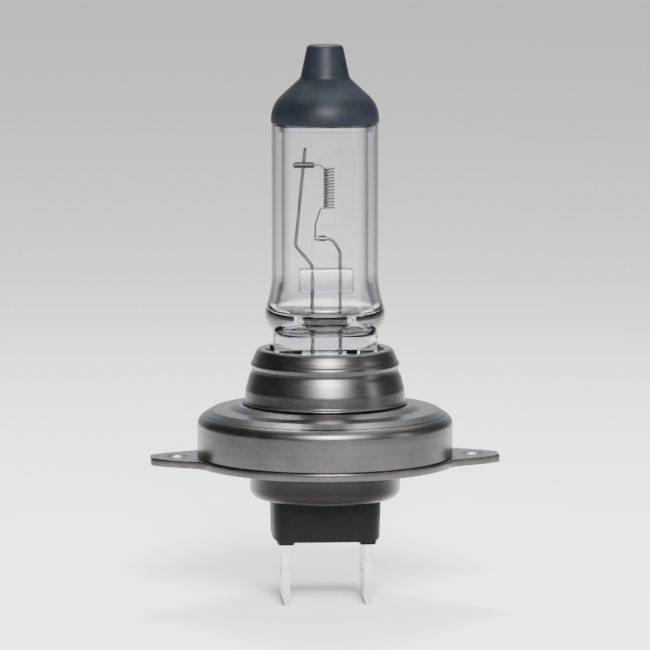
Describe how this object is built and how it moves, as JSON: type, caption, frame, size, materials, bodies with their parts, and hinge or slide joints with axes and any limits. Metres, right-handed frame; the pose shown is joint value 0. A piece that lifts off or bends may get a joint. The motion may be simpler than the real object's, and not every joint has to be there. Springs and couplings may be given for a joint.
{
  "type": "headlight bulb",
  "caption": "Halogen headlight bulb: black-topped quartz burner in a beaded cup on a round prefocus collar, with an eared flange and flat blade terminals.",
  "frame": {"origin": "centre of the reference plane that the tops of the supporting bosses on the flange plate touch, on the collar's axis", "axes": "+Z along the bulb axis towards the glass tip, -Y the front, the ears on +X and -X, the wide reference lug on +Y"},
  "size_m": [0.0356, 0.0303, 0.057],
  "materials": {
    "quartz_glass": "clear fused quartz",
    "black_coating": "satin blue-black baked coating",
    "tungsten": "drawn dark grey wire",
    "molybdenum": "satin grey wire and foil",
    "clip_steel": "bright spring steel strip",
    "base_metal": "satin nickel-plated sheet with turning marks",
    "insulator_plastic": "black moulded heat-resistant plastic",
    "terminal_metal": "tin-plated strip"
  },
  "bodies": {
    "root": {"glass_envelope": "quartz_glass", "black_top_coating": "black_coating", "filament": "tungsten", "upper_leg_sleeve": "molybdenum", "lower_leg_sleeve": "molybdenum", "long_support_wire": "molybdenum", "short_support_wire": "molybdenum", "bridge_bar_front": "quartz_glass", "bridge_bar_rear": "quartz_glass", "molybdenum_foil_left": "molybdenum", "molybdenum_foil_right": "molybdenum", "outer_lead_left": "molybdenum", "outer_lead_right": "molybdenum", "pinch_clip": "clip_steel", "burner_cup": "base_metal", "collar_ring": "base_metal", "flange_plate": "base_metal", "rear_shell": "base_metal", "insulator_block": "insulator_plastic", "terminal_blade_left": "terminal_metal", "terminal_blade_right": "terminal_metal"}
  },
  "joints": []
}
